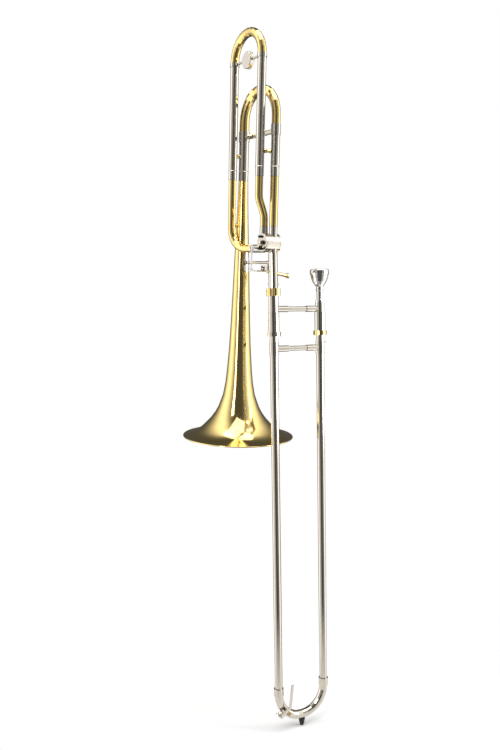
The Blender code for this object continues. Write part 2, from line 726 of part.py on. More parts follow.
def mouth_side_barrel():
    x = MOUTH_SIDE_X
    profile = [(0, BARREL_BOTTOM_Z), (BARREL_R, BARREL_BOTTOM_Z), (BARREL_R, BARREL_TOP_Z),
               (MOUTH_SIDE_NECK_R, BARREL_TOP_Z), (MOUTH_SIDE_NECK_R, MOUTH_NECK_TOP_Z), (0, MOUTH_NECK_TOP_Z)]
    barrel = lathe("cork_barrel_mouthpiece_side", profile, "nickel_silver", None, at(x, 0, 0))
    socket_radius = BRACE_ROD_R + GAP + BRACE_SOCKET_WALL
    join(barrel, brace_socket("form_inner_socket_mouthpiece_side", 0, socket_radius, None,
                              at(x, 0, INNER_BRACE_Z, Vector((-1, 0, 0)))))
    neck = INNER_TUBE_R + GAP
    cut(barrel, barrel_bore("form_barrel_bore_mouthpiece_side", x, neck, MOUTH_NECK_TOP_Z + 0.5 * MM,
                            MOUTH_NECK_TOP_Z + 1 * MM))


def slide_lock():
    """Turning ring on the mouthpiece side barrel, with the tab that stands in front of the stud."""
    x = MOUTH_SIDE_X
    axis = frame("slide_lock_axis", None, Matrix.Translation((x, 0, BARREL_BOTTOM_Z)))
    bore = BARREL_R + TURN_GAP
    ring = lathe("slide_lock_ring", ring_profile(bore, BARREL_RING_R, 0.5 * MM, BARREL_RING_HEIGHT + 0.5 * MM),
                 "lacquered_brass", axis, sides=ROUND_SIDES)
    inner = bore + LOCK_TAB_THICK
    clear = math.asin((LOCK_STUD_R + GAP) / inner)
    outer = 3 * clear + LOCK_TAB_WIDTH / inner
    gate = -SLEEVE_DROP - LOCK_STUD_R * 2 - 1 * MM - GAP
    low = gate - 2.5 * MM
    tab = [(3 * clear, 2 * MM), (outer, 2 * MM), (outer, low), (clear, low), (clear, gate), (3 * clear, gate)]
    points = [(r * math.cos(a), r * math.sin(a), z) for r in (inner, inner + LOCK_TAB_THICK)
              for a, z in tab]
    count = len(tab)
    faces = [list(range(count)), list(range(count, 2 * count))]
    for step in range(count):
        after = (step + 1) % count
        faces.append([step, after, count + after, count + step])
    join(ring, add_mesh("form_lock_tab", points, faces, None, axis, Matrix.Identity(4)))


def receiver_and_nut():
    x = BELL_SIDE_X
    top = KINK_Z - RECEIVER_DROP
    low = COLLAR_TOP_Z + GAP
    ring_z = NUT_TOP_Z + RECEIVER_RING_ABOVE_NUT - RECEIVER_RING_HEIGHT
    bore = RECEIVER_R - RECEIVER_WALL
    profile = [(THREAD_R, low), (THREAD_R, NUT_TOP_Z - 0.4 * MM), (RECEIVER_R, NUT_TOP_Z - 0.4 * MM),
               (RECEIVER_R, ring_z), (RECEIVER_RING_R, ring_z), (RECEIVER_RING_R, ring_z + RECEIVER_RING_HEIGHT),
               (RECEIVER_R, ring_z + RECEIVER_RING_HEIGHT), (RECEIVER_R, top), (bore, top), (bore, low)]
    lathe("slide_receiver", profile, "nickel_silver", None, at(x, 0, 0), ROUND_SIDES)
    axis = frame("lock_nut_axis", None, Matrix.Translation((x, 0, NUT_Z)))
    lock_nut(axis)


def lock_nut(axis):
    """Scalloped nut that runs on the receiver's thread and draws up the barrel's collar."""
    sides = NUT_SCALLOPS * 4
    lip_bore = BELL_SIDE_NECK_R + TURN_GAP
    bore = THREAD_R + TURN_GAP
    points = []
    levels = ((None, 0), (None, NUT_HEIGHT), (bore, NUT_HEIGHT), (bore, NUT_LIP), (lip_bore, NUT_LIP), (lip_bore, 0))
    for radius, height in levels:
        for step in range(sides):
            angle = 2 * math.pi * step / sides
            dip = NUT_SCALLOP_DEPTH * (0.5 - 0.5 * math.cos(NUT_SCALLOPS * angle))
            size = NUT_R - dip if radius is None else radius
            points.append((size * math.cos(angle), size * math.sin(angle), height))
    faces = bridge(0, len(levels), sides)
    last = (len(levels) - 1) * sides
    for step in range(sides):
        after = (step + 1) % sides
        faces.append([last + step, last + after, after, step])
    add_mesh("slide_lock_nut", points, faces, "lacquered_brass", axis, Matrix.Identity(4))


# Mouthpiece side

def mouthpiece():
    x = MOUTH_SIDE_X
    tip = MOUTH_RECEIVER_TOP_Z - SHANK_SEAT
    axis = frame("mouthpiece_axis", None, Matrix.Translation((x, 0, tip)))
    head = SHANK_LENGTH
    top = head + MOUTHPIECE_HEAD
    rim = RIM_R
    profile = [
        (SHANK_TIP_R, 0), (SHANK_TOP_R, head - 5 * MM), (SHANK_TOP_R + 0.9 * MM, head - 4 * MM),
        (SHANK_TOP_R + 0.9 * MM, head - 1 * MM), (SHANK_TOP_R + 0.2 * MM, head), (SHANK_TOP_R + 0.5 * MM, head + 3 * MM),
        (rim * 0.55, head + 7.5 * MM), (rim * 0.74, head + 13 * MM), (rim * 0.87, head + 19 * MM),
        (rim * 0.93, head + 24.5 * MM), (rim, top - 8.5 * MM), (rim, top - 2.4 * MM), (rim - 1 * MM, top - 0.7 * MM),
        (rim - 2.6 * MM, top), (CUP_R + 1 * MM, top - 0.8 * MM), (CUP_R, top - 2.4 * MM),
        (CUP_R * 0.93, top - 9 * MM), (CUP_R * 0.78, top - 15 * MM), (CUP_R * 0.5, top - 20.5 * MM),
        (THROAT_R, top - CUP_DEPTH), (THROAT_R, top - CUP_DEPTH - 8 * MM), (SHANK_TIP_R - 1.2 * MM, 0),
    ]
    lathe("mouthpiece", profile, "silver_plate", axis, sides=24)


def shank_radius(height_above_tip):
    """Outer radius of the mouthpiece shank at a height over its tip."""
    return SHANK_TIP_R + (SHANK_TOP_R - SHANK_TIP_R) * height_above_tip / (SHANK_LENGTH - 5 * MM)


def mouthpiece_receiver():
    x = MOUTH_SIDE_X
    low = INNER_TOP_Z + GAP
    lip = MOUTH_NECK_TOP_Z + GAP
    top = MOUTH_RECEIVER_TOP_Z
    bore_top = shank_radius(SHANK_SEAT) + GAP
    bore_low = SHANK_TIP_R + GAP
    lip_r = MOUTH_SIDE_NECK_R - 0.6 * MM
    profile = [(INNER_TUBE_R, low), (INNER_TUBE_R, lip), (lip_r, lip), (lip_r, top - 0.6 * MM),
               (lip_r - 0.6 * MM, top), (bore_top, top), (bore_low, low)]
    lathe("mouthpiece_receiver", profile, "silver_plate", None, at(x, 0, 0))
    leadpipe_r = INNER_TUBE_R - INNER_TUBE_WALL - GAP
    leadpipe_top = INNER_TOP_Z - 1 * MM
    leadpipe_low = leadpipe_top - LEADPIPE_LENGTH
    lathe("leadpipe", ring_profile(leadpipe_r - LEADPIPE_WALL, leadpipe_r, leadpipe_low, leadpipe_top),
          "lacquered_brass", None, at(x, 0, 0))


# Bell section

def bell_section_frame():
    turn = Matrix.Rotation(BELL_TURN, 4, "Z") @ Matrix.Rotation(-BELL_KINK, 4, "Y")
    return frame("bell_section", None, Matrix.Translation((BELL_SIDE_X, 0, KINK_Z)) @ turn)


def bell_radius(above_rim):
    """Outer radius of the bell at a height above its rim plane, between the profile's points."""
    height = above_rim / MM
    for (low, wide), (high, narrow) in zip(BELL_PROFILE_MM, BELL_PROFILE_MM[1:]):
        if height <= high:
            return (wide + (narrow - wide) * (height - low) / (high - low)) * MM
    return BELL_PROFILE_MM[-1][1] * MM


def bell(section):
    outside = [(radius * MM, BELL_RIM_H + height * MM) for height, radius in BELL_PROFILE_MM]
    top = LEG_BASE_H - GAP
    outside[-1] = (BELL_LEG_R, top)
    rim_r, rim_h = outside[0]
    roll = [(rim_r - BELL_RIM_ROLL * (1 - math.sin(a)), rim_h + BELL_RIM_ROLL * math.cos(a))
            for a in (math.radians(165), math.radians(120), math.radians(75), math.radians(30))]
    inside = []
    for index, (radius, height) in enumerate(outside[1:], 1):
        before = outside[index - 1]
        slope = math.hypot(radius - before[0], height - before[1])
        lean = abs(height - before[1]) / slope
        wall = BELL_WALL / max(lean, 0.3)
        inside.append((radius - wall, height))
    profile = roll + outside[1:] + inside[::-1]
    lathe("bell", profile, "lacquered_brass", section, at(BELL_AXIS_W, 0, 0), BELL_SIDES)


def bell_brace(section):
    """Brace from the receiver to the bell stem, with an oval flange on the stem."""
    slide_w = BELL_BRACE_H * math.tan(BELL_KINK)
    start = slide_w
    reach = BELL_AXIS_W
    boss = slide_w + RECEIVER_R + BELL_BRACE_BOSS
    stem = bell_radius(BELL_BRACE_H - BELL_RIM_H)
    far = BELL_AXIS_W - stem - BELL_BRACE_BOSS
    profile = [(0, start), (BELL_BRACE_BOSS_R, start), (BELL_BRACE_BOSS_R, boss), (BELL_BRACE_R, boss + 1.5 * MM),
               (BELL_BRACE_R, far - 1.5 * MM), (BELL_BRACE_BOSS_R, far), (BELL_BRACE_BOSS_R, reach), (0, reach)]
    brace = lathe("bell_brace", profile, "nickel_silver", section, at(0, 0, BELL_BRACE_H, "X"))
    outline = []
    for step in range(16):
        angle = 2 * math.pi * step / 16
        outline.append((BRACE_FLANGE_HEIGHT / 2 * math.cos(angle), BRACE_FLANGE_WIDTH / 2 * math.sin(angle)))
    flange = slab("form_bell_flange", outline, BELL_AXIS_W - 2 * stem, BELL_AXIS_W, None, section,
                  at(0, 0, BELL_BRACE_H, "X"))
    lift = stem + GAP + BRACE_FLANGE_THICK
    half = BRACE_FLANGE_HEIGHT / 2 + 2 * MM
    low = BELL_BRACE_H - half
    high = BELL_BRACE_H + half
    slope = bell_radius(low - BELL_RIM_H) - bell_radius(high - BELL_RIM_H)
    skin = lathe("form_flange_skin", [(0, low), (lift + slope / 2, low), (lift - slope / 2, high), (0, high)], None,
                 section, at(BELL_AXIS_W, 0, 0), BELL_SIDES)
    combine(flange, skin, "INTERSECT")
    join(brace, flange)
    clear = stem + GAP
    cut(brace, lathe("form_stem_clear", [(0, low), (clear + slope / 2, low), (clear - slope / 2, high), (0, high)],
                     None, section, at(BELL_AXIS_W, 0, 0), BELL_SIDES),
        receiver_cutter("form_brace_receiver", section))


def receiver_cutter(name, section):
    """The receiver's outside in the bell section's frame, where it leans by the kink."""
    lean = Matrix.Rotation(BELL_KINK, 4, "Y")
    return lathe(name, rod_profile(RECEIVER_R + GAP, -70 * MM, 20 * MM), None, section, lean, ROUND_SIDES)


def fixed_tubes(section):
    """Gooseneck, tuning slide outer legs and the valve loop's fixed tubes."""
    tube("gooseneck", straight(0, 0, PORT_TOP_H + GAP, LEG_BASE_H - GAP), GOOSENECK_R,
         GOOSENECK_R - GOOSENECK_WALL, "lacquered_brass", section)
    legs = (("main_outer_leg_gooseneck_side", 0, 0, MAIN_LEG_R, MAIN_LEG_TOP_H),
            ("main_outer_leg_bell_side", BELL_AXIS_W, 0, BELL_LEG_R, MAIN_LEG_TOP_H),
            ("loop_outer_leg_gooseneck_side", LOOP_RIGHT_W, LOOP_T, LOOP_LEG_R, LOOP_LEG_TOP_H),
            ("loop_outer_leg_bell_side", LOOP_LEFT_W, LOOP_T, LOOP_LEG_R, LOOP_LEG_TOP_H))
    for name, w, t, radius, top in legs:
        bead = LEG_BASE_H + LEG_BEAD_UP
        bore = radius - LEG_WALL
        profile = [(radius, LEG_BASE_H), (radius, bead), (radius + LEG_BEAD_R, bead + 0.6 * MM),
                   (radius, bead + 1.2 * MM), (radius, top), (bore, top), (bore, LEG_BASE_H)]
        lathe(name, profile, "nickel_silver", section, at(w, t, 0))
    neck = [(LOOP_PORT_W, LOOP_PORT_T, PORT_TOP_H + GAP), (LOOP_PORT_W, LOOP_PORT_T, LOOP_NECK_LOW_H),
            (LOOP_RIGHT_W, LOOP_T, LOOP_NECK_HIGH_H), (LOOP_RIGHT_W, LOOP_T, LEG_BASE_H - GAP)]
    tube("loop_neck_tube", bent_path(neck, LOOP_NECK_BEND, 10), LOOP_TUBE_R, LOOP_TUBE_R - LOOP_TUBE_WALL,
         "lacquered_brass", section)
    tube("loop_elbow_tube", elbow_path(), LOOP_TUBE_R, LOOP_TUBE_R - LOOP_TUBE_WALL, "lacquered_brass", section)


def elbow_direction():
    """Unit direction of the loop's level run, from the bell side towards the valve."""
    run = Vector((LOOP_PORT_W - LOOP_LEFT_W, LOOP_PORT_T - LOOP_T, 0))
    return run.normalized()


def elbow_path():
    corner = Vector((LOOP_LEFT_W, LOOP_T, LOOP_ELBOW_H))
    ahead = elbow_direction()
    length = (LOOP_LEFT_W - LOOP_PORT_REACH - GAP) / -ahead.x
    return bent_path([(LOOP_LEFT_W, LOOP_T, LEG_BASE_H - GAP), corner, corner + ahead * length], LOOP_ELBOW_BEND)


def post(name, first, second, section):
    """Short brass post between two parallel tubes, its ends hollowed to seat on them."""
    (w1, t1, r1), (w2, t2, r2), height = first, second, POST_H
    if name == "loop_post_low":
        height = LOW_POST_H
    across = Vector((w2 - w1, t2 - t1, 0))
    length = across.length
    waist = POST_R * 0.7
    start = r1 - 1 * MM
    end = length - r2 + 1 * MM
    middle = (r1 + length - r2) / 2
    profile = [(0, start), (POST_R, start), (POST_R, r1 + 1 * MM), (waist, middle - 0.3 * MM),
               (waist, middle + 0.3 * MM), (POST_R, length - r2 - 1 * MM), (POST_R, end), (0, end)]
    made = lathe(name, profile, "lacquered_brass", section, at(w1, t1, height, across.normalized()))
    for number, (w, t, r) in enumerate(((w1, t1, r1), (w2, t2, r2))):
        seat = rod_profile(r + GAP, height - 12 * MM, height + 12 * MM)
        cut(made, lathe(f"form_{name}_seat_{number}", seat, None, section, at(w, t, 0), 32))


def small_posts(section):
    post("main_post_gooseneck_side", (0, 0, MAIN_LEG_R), (LOOP_RIGHT_W, LOOP_T, LOOP_LEG_R), section)
    post("loop_post_high", (BELL_AXIS_W, 0, BELL_LEG_R), (LOOP_LEFT_W, LOOP_T, LOOP_LEG_R), section)
    stem = bell_radius(LOW_POST_H - BELL_RIM_H)
    post("loop_post_low", (BELL_AXIS_W, 0, stem), (LOOP_LEFT_W, LOOP_T, LOOP_TUBE_R), section)


def tuning_leg(name, w, t, radius, leg_top, inner_length, ferrule_height, parent):
    """Inner leg of a tuning slide with the ferrule that seats on the outer leg and holds the bow."""
    outer = radius - LEG_WALL - GAP
    bore = outer - INNER_LEG_WALL
    seat = leg_top + GAP
    ferrule_r = radius + 1.0 * MM
    bow_bore = radius + GAP
    profile = [(outer, leg_top - inner_length), (outer, seat), (ferrule_r, seat), (ferrule_r, seat + ferrule_height),
               (bow_bore, seat + ferrule_height), (bow_bore, seat + 1.2 * MM), (bore, seat + 1.2 * MM),
               (bore, leg_top - inner_length)]
    return lathe(name, profile, "nickel_silver", parent, at(w, t, 0))


def bow_path(w_right, w_left, t, start, centre):
    half = (w_left - w_right) / 2
    return bent_path([(w_right, t, start), (w_right, t, centre + half), (w_left, t, centre + half),
                      (w_left, t, start)], half - 0.01 * MM, 7)


def main_tuning_slide(section):
    body = frame("main_tuning_slide", section)
    tuning_leg("main_slide_leg_gooseneck_side", 0, 0, MAIN_LEG_R, MAIN_LEG_TOP_H, MAIN_INNER_LENGTH,
               MAIN_FERRULE_HEIGHT, body)
    tuning_leg("main_slide_leg_bell_side", BELL_AXIS_W, 0, BELL_LEG_R, MAIN_LEG_TOP_H, MAIN_INNER_LENGTH,
               MAIN_FERRULE_HEIGHT, body)
    path = bow_path(0, BELL_AXIS_W, 0, MAIN_LEG_TOP_H + 1.8 * MM, MAIN_BOW_H)
    radii = [MAIN_LEG_R + (BELL_LEG_R - MAIN_LEG_R) * step / (len(path) - 1) for step in range(len(path))]
    tube("main_tuning_bow", path, radii, MAIN_LEG_R - 0.7 * MM, "lacquered_brass", body)
    near = MAIN_LEG_R + 1.0 * MM
    far = BELL_AXIS_W - BELL_LEG_R - 1.0 * MM
    sleeve = 22 * MM
    profile = [(0, 0), (4.3 * MM, 0), (4.3 * MM, near + sleeve), (5.0 * MM, near + sleeve + 1.2 * MM),
               (3.0 * MM, near + sleeve + 3 * MM), (3.0 * MM, far - sleeve - 3 * MM),
               (5.0 * MM, far - sleeve - 1.2 * MM), (4.3 * MM, far - sleeve), (4.3 * MM, BELL_AXIS_W),
               (0, BELL_AXIS_W)]
    brace = lathe("main_slide_brace", profile, "nickel_silver", body, at(0, 0, MAIN_BRACE_H, "X"))
    cut(brace, seat_cutter("form_brace_seat_near", 0, 0, near, MAIN_BRACE_H, body),
        seat_cutter("form_brace_seat_far", BELL_AXIS_W, 0, BELL_LEG_R + 1.0 * MM, MAIN_BRACE_H, body))


def seat_cutter(name, w, t, radius, height, parent):
    seat = rod_profile(radius + GAP, height - 9 * MM, height + 9 * MM)
    return lathe(name, seat, None, parent, at(w, t, 0))


def loop_tuning_slide(section):
    body = frame("loop_tuning_slide", section)
    for name, w in (("loop_slide_leg_gooseneck_side", LOOP_RIGHT_W), ("loop_slide_leg_bell_side", LOOP_LEFT_W)):
        tuning_leg(name, w, LOOP_T, LOOP_LEG_R, LOOP_LEG_TOP_H, LOOP_INNER_LENGTH, LOOP_FERRULE_HEIGHT, body)
    path = bow_path(LOOP_RIGHT_W, LOOP_LEFT_W, LOOP_T, LOOP_LEG_TOP_H + 1.8 * MM, LOOP_BOW_H)
    tube("loop_tuning_bow", path, LOOP_LEG_R, LOOP_LEG_R - 0.7 * MM, "lacquered_brass", body)
    counterweight(body)


def counterweight(body):
    """Cross rod between the loop slide's ferrules, and the round balance weight clamped on it."""
    boss = LOOP_LEG_R + 4.5 * MM
    near = LOOP_RIGHT_W + boss
    far = LOOP_LEFT_W - boss
    profile = [(0, LOOP_RIGHT_W), (CROSS_ROD_BOSS_R, LOOP_RIGHT_W), (CROSS_ROD_BOSS_R, near),
               (CROSS_ROD_R, near + 1.5 * MM), (CROSS_ROD_R, far - 1.5 * MM), (CROSS_ROD_BOSS_R, far),
               (CROSS_ROD_BOSS_R, LOOP_LEFT_W), (0, LOOP_LEFT_W)]
    rod = lathe("counterweight_rod", profile, "nickel_silver", body, at(0, LOOP_T, CROSS_ROD_H, "X"))
    ferrule_r = LOOP_LEG_R + 1.0 * MM
    cut(rod, seat_cutter("form_rod_seat_near", LOOP_RIGHT_W, LOOP_T, ferrule_r, CROSS_ROD_H, body),
        seat_cutter("form_rod_seat_far", LOOP_LEFT_W, LOOP_T, ferrule_r, CROSS_ROD_H, body))
    half = WEIGHT_THICK / 2
    groove = WEIGHT_R - WEIGHT_GROOVE
    profile = [(0, -half), (WEIGHT_R - 1 * MM, -half), (WEIGHT_R, -half + 1 * MM), (WEIGHT_R, -1.2 * MM),
               (groove, -0.6 * MM), (groove, 0.6 * MM), (WEIGHT_R, 1.2 * MM), (WEIGHT_R, half - 1 * MM),
               (WEIGHT_R - 1 * MM, half), (0, half)]
    weight = lathe("counterweight", profile, "nickel_silver", body, at(WEIGHT_W, LOOP_T, CROSS_ROD_H, "Y"),
                   ROUND_SIDES)
    bore = rod_profile(CROSS_ROD_R + GAP, WEIGHT_W - WEIGHT_R - 2 * MM, WEIGHT_W + WEIGHT_R + 2 * MM)
    cut(weight, lathe("form_weight_bore", bore, None, body, at(0, LOOP_T, CROSS_ROD_H, "X")))


# Rotary valve

def valve_casing(section):
    casing = lathe("valve_casing", rod_profile(CASING_R, CASING_BACK, CASING_FRONT), "nickel_silver", section,
                   at(VALVE_W, 0, VALVE_H, "Y"), ROUND_SIDES)
    middle = (CASING_BACK + CASING_FRONT) / 2
    ahead = -elbow_direction()
    level = Vector((LOOP_PORT_W, LOOP_PORT_T, LOOP_ELBOW_H))
    reach = (LOOP_PORT_REACH - LOOP_PORT_W) / ahead.x
    ports = (("slide", [(0, 0, VALVE_H - 9 * MM), (0, 0, PORT_BOTTOM_H)]),
             ("gooseneck", [(0, 0, VALVE_H + 9 * MM), (0, 0, PORT_TOP_H)]),
             ("loop_neck", [(LOOP_PORT_W, LOOP_PORT_T, VALVE_H + 5 * MM), (LOOP_PORT_W, LOOP_PORT_T, PORT_TOP_H)]),
             ("loop_elbow", [level - ahead * 3 * MM, level + ahead * reach]))
    bores = []
    for name, ends in ports:
        start, end = Vector(ends[0]), Vector(ends[1])
        along = (end - start).normalized()
        join(casing, tube(f"form_port_{name}", [start, end], PORT_R, None, None, section))
        inward = start - along * 4 * MM
        bores.append(tube(f"form_bore_{name}", [inward, end + along * MM], PORT_BORE_R, None, None, section))
    chamber = rod_profile(CASING_BORE_R, CASING_BACK - 1 * MM, CASING_FRONT + 1 * MM)
    cut(casing, lathe("form_chamber", chamber, None, section, at(VALVE_W, 0, VALVE_H, "Y"), ROUND_SIDES), *bores)
    valve_caps(section)
    rotor(section, middle)


def valve_caps(section):
    front = CASING_FRONT + GAP
    place = at(VALVE_W, 0, VALVE_H, "Y")
    hole = SPINDLE_R + TURN_GAP
    profile = [(CASING_R - 0.2 * MM, front), (CASING_R - 0.2 * MM, front + CAP_THICK - 0.6 * MM),
               (CASING_R - 0.8 * MM, front + CAP_THICK), (hole, front + CAP_THICK), (hole, front)]
    lathe("valve_bearing_plate", profile, "nickel_silver", section, place, ROUND_SIDES)
    back = CASING_BACK - GAP
    end = back - CAP_THICK - 1.2 * MM
    recess = back - 2.2 * MM
    profile = [(0, end), (CASING_R - 3 * MM, end), (CASING_R + 0.3 * MM, end + 1.2 * MM), (CASING_R + 0.3 * MM, back),
               (hole, back), (hole, recess), (0, recess)]
    lathe("valve_back_cap", profile, "nickel_silver", section, place, ROUND_SIDES)


def rotor(section, middle):
    axis = frame("rotor_axis", section, Matrix.Translation((VALVE_W, 0, VALVE_H)))
    back = CASING_BACK + 0.6 * MM
    front = CASING_FRONT - 0.3 * MM
    tip = CASING_FRONT + GAP + CAP_THICK + 0.6 * MM
    tail = CASING_BACK - GAP - 1.9 * MM
    profile = [(0, tail), (SPINDLE_R, tail), (SPINDLE_R, back), (ROTOR_R, back), (ROTOR_R, front),
               (SPINDLE_R, front), (SPINDLE_R, tip), (0, tip)]
    made = lathe("valve_rotor", profile, "lacquered_brass", axis, at(0, 0, 0, "Y"), ROUND_SIDES)
    reach = ROTOR_R + 3 * MM
    for name, side in (("slide", -1), ("loop", 1)):
        corners = [(side * reach * 0.7071, middle, reach * 0.7071), (side * 5 * MM, middle, 0),
                   (side * reach * 0.7071, middle, -reach * 0.7071)]
        cut(made, tube(f"form_passage_{name}", bent_path(corners, 8 * MM), ROTOR_BORE_R, None, None, axis))
    stop_arm(axis, tip)
    link_rod(axis, section)
    plate = CASING_FRONT + GAP + CAP_THICK + GAP
    half = ARM_WIDTH / 2 + STOP_CORK_R + GAP
    for name, side in (("stop_cork_lower", -1), ("stop_cork_upper", 1)):
        angle = side * (abs(ARM_START) + math.asin(half / STOP_RADIUS))
        w = VALVE_W + STOP_RADIUS * math.cos(angle)
        h = VALVE_H + STOP_RADIUS * math.sin(angle)
        lathe(name, rod_profile(STOP_CORK_R, plate, plate + STOP_CORK_LENGTH), "black_rubber", section,
              at(w, 0, h, "Y"), 12)


def stop_arm(axis, tip):
    """Arm on the rotor's spindle, with the ball stud that takes the link rod."""
    low = tip + GAP
    high = low + ARM_THICK
    arm = lathe("stop_arm", rod_profile(ARM_HUB_R, low, high + 0.8 * MM), "nickel_silver", axis,
                at(0, 0, 0, "Y"))
    turn = Matrix.Rotation(-ARM_START, 4, "Y")
    half = ARM_WIDTH / 2
    join(arm, block("form_arm_bar", (0, low + 0.2 * MM, -half), (ARM_RADIUS, high, half), None, axis, turn))
    end = Vector((ARM_RADIUS * math.cos(ARM_START), 0, ARM_RADIUS * math.sin(ARM_START)))
    join(arm, lathe("form_arm_end", rod_profile(half + 0.4 * MM, low + 0.1 * MM, high + 0.1 * MM), None, axis,
                    at(end.x, 0, end.z, "Y"), 14))
    ball = [(0, low + 1 * MM), (STUD_R, low + 1 * MM), (STUD_R, EYE_T - STUD_BALL_R * 0.8)]
    for angle in (-35, 0, 35):
        lean = math.radians(angle)
        ball.append((STUD_BALL_R * math.cos(lean), EYE_T + STUD_BALL_R * math.sin(lean)))
    ball.append((0, EYE_T + STUD_BALL_R))
    join(arm, lathe("form_arm_stud", ball, None, axis, at(end.x, 0, end.z, "Y"), 12))
    head_low = high + 0.6 * MM
    head = [(0, head_low), (3.2 * MM, head_low), (3.2 * MM, head_low + 1.6 * MM), (2.4 * MM, head_low + 2.2 * MM),
            (0, head_low + 2.2 * MM)]
    join(arm, lathe("form_arm_screw", head, None, axis, at(0, 0, 0, "Y"), 14))


def link_rod(axis, section):
    """Link from the stop arm's ball down to the thumb lever; its lower joint is left open."""
    pivot = Vector((ARM_RADIUS * math.cos(ARM_START), EYE_T, ARM_RADIUS * math.sin(ARM_START)))
    body = frame("link_rod_pivot", axis, Matrix.Translation(pivot))
    bore = STUD_BALL_R + TURN_GAP
    eye = lathe("link_rod", ring_profile(bore, EYE_R, -EYE_THICK / 2, EYE_THICK / 2), "white_nylon", body,
                at(0, 0, 0, "Y"), 18)
    foot = lever_foot_top() + LEVER_FOOT_GAP - VALVE_H - pivot.z
    profile = [(0, foot), (LINK_FOOT_R * 0.7, foot), (LINK_FOOT_R, foot + 1.6 * MM), (LINK_FOOT_R, foot + 3.4 * MM),
               (LINK_R, foot + 5.4 * MM), (LINK_R, -bore - 0.6 * MM), (0, -bore - 0.6 * MM)]
    join(eye, lathe("form_link_shaft", profile, None, body, at(0, 0, 0), 12))


# Thumb lever

def lever_foot_top():
    """Height in the bell section's frame of the lever's pad, under the link rod's foot."""
    return LEVER_H - LEVER_DROP


def thumb_lever(section):
    axis = frame("thumb_lever_axis", section, Matrix.Translation((LEVER_W, LEVER_T, LEVER_H)))
    half = LEVER_HUB_LENGTH / 2
    hub = lathe("thumb_lever", ring_profile(LEVER_PIN_R + TURN_GAP, LEVER_HUB_R, -half, half), "nickel_silver", axis,
                at(0, 0, 0, "X"))
    top = -LEVER_DROP
    low = top - LEVER_PLATE
    pad_w = VALVE_W + ARM_RADIUS * math.cos(ARM_START) - LEVER_W
    far = EYE_T - LEVER_T
    wide = LEVER_WIDTH / 2
    pad = LINK_FOOT_R + 0.8 * MM
    outline = [(-wide, -6 * MM), (wide, -6 * MM), (wide, far - 8 * MM), (pad_w + pad, far - 3 * MM),
               (pad_w + pad, far + pad), (pad_w - pad, far + pad), (pad_w - pad, far - 3 * MM), (-wide, far - 8 * MM)]
    join(hub, slab("form_lever_plate", outline, low, top, None, axis))
    bridge_low = low + 0.4 * MM
    join(hub, block("form_lever_rib", (-half, -LEVER_HUB_R, bridge_low), (half, LEVER_HUB_R, -LEVER_PIN_R - 0.9 * MM),
                    None, axis))
    start = Vector((0, -6 * MM - GAP, low + LEVER_PLATE / 2))
    end = Vector((0, THUMB_ROD_T - LEVER_T, start.z - THUMB_ROD_DROP))
    along = (end - start).normalized()
    length = (end - start).length
    tip = THUMB_ROD_TIP_R
    profile = [(0, 0), (THUMB_ROD_R, 0), (THUMB_ROD_R, length - 6.5 * MM), (tip, length - 5 * MM), (tip, length - 1 * MM),
               (tip - 1 * MM, length), (0, length)]
    lathe("thumb_lever_rod", profile, "lacquered_brass", axis, at(start.x, start.y, start.z, along))
    lever_saddle(section)


def lever_saddle(section):
    """Bracket soldered to the receiver: near ear, top bridge, far ear and the lever's pin."""
    half = 4 * MM
    low = LEVER_H - half
    high = LEVER_H + LEVER_HUB_R + 1.0 * MM
    t_low = LEVER_T - half
    t_high = LEVER_T + half
    near = block("lever_saddle", (2 * MM, t_low, low), (SADDLE_NEAR_W + SADDLE_EAR, t_high, high + 1.6 * MM),
                 "nickel_silver", section)
    join(near, block("form_saddle_bridge", (SADDLE_NEAR_W, t_low, high), (SADDLE_FAR_W + SADDLE_EAR, t_high,
                                                                         high + 1.6 * MM), None, section),
         block("form_saddle_far_ear", (SADDLE_FAR_W, t_low, low), (SADDLE_FAR_W + SADDLE_EAR, t_high,
                                                                  high + 1.0 * MM), None, section),
         lathe("form_lever_pin", rod_profile(LEVER_PIN_R, SADDLE_NEAR_W, SADDLE_FAR_W + SADDLE_EAR + 1 * MM), None,
               section, at(0, LEVER_T, LEVER_H, "X"), 12))
    cut(near, receiver_cutter("form_saddle_receiver", section))
    start = SADDLE_NEAR_W + SADDLE_EAR + 0.7 * MM
    spring("thumb_lever_spring", LEVER_SPRING_R, LEVER_SPRING_WIRE_R, LEVER_SPRING_TURNS, LEVER_SPRING_PITCH,
           2.5 * MM, "steel", section, at(start, LEVER_T, LEVER_H, "X"))


def main():
    clear_scene()
    hand_slide = frame("hand_slide")
    outer_slide(hand_slide)
    slide_bumper(hand_slide)
    water_key(hand_slide)
    inner_slide()
    receiver_and_nut()
    mouthpiece()
    mouthpiece_receiver()
    section = bell_section_frame()
    bell(section)
    bell_brace(section)
    fixed_tubes(section)
    small_posts(section)
    main_tuning_slide(section)
    loop_tuning_slide(section)
    valve_casing(section)
    thumb_lever(section)


main()
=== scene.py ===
"""Finishes, bell and studio for a tenor trombone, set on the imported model's frame."""
import json
import math

import bmesh
import bpy
from bpy.props import FloatProperty, IntProperty, PointerProperty, StringProperty
from mathutils import Matrix, Vector


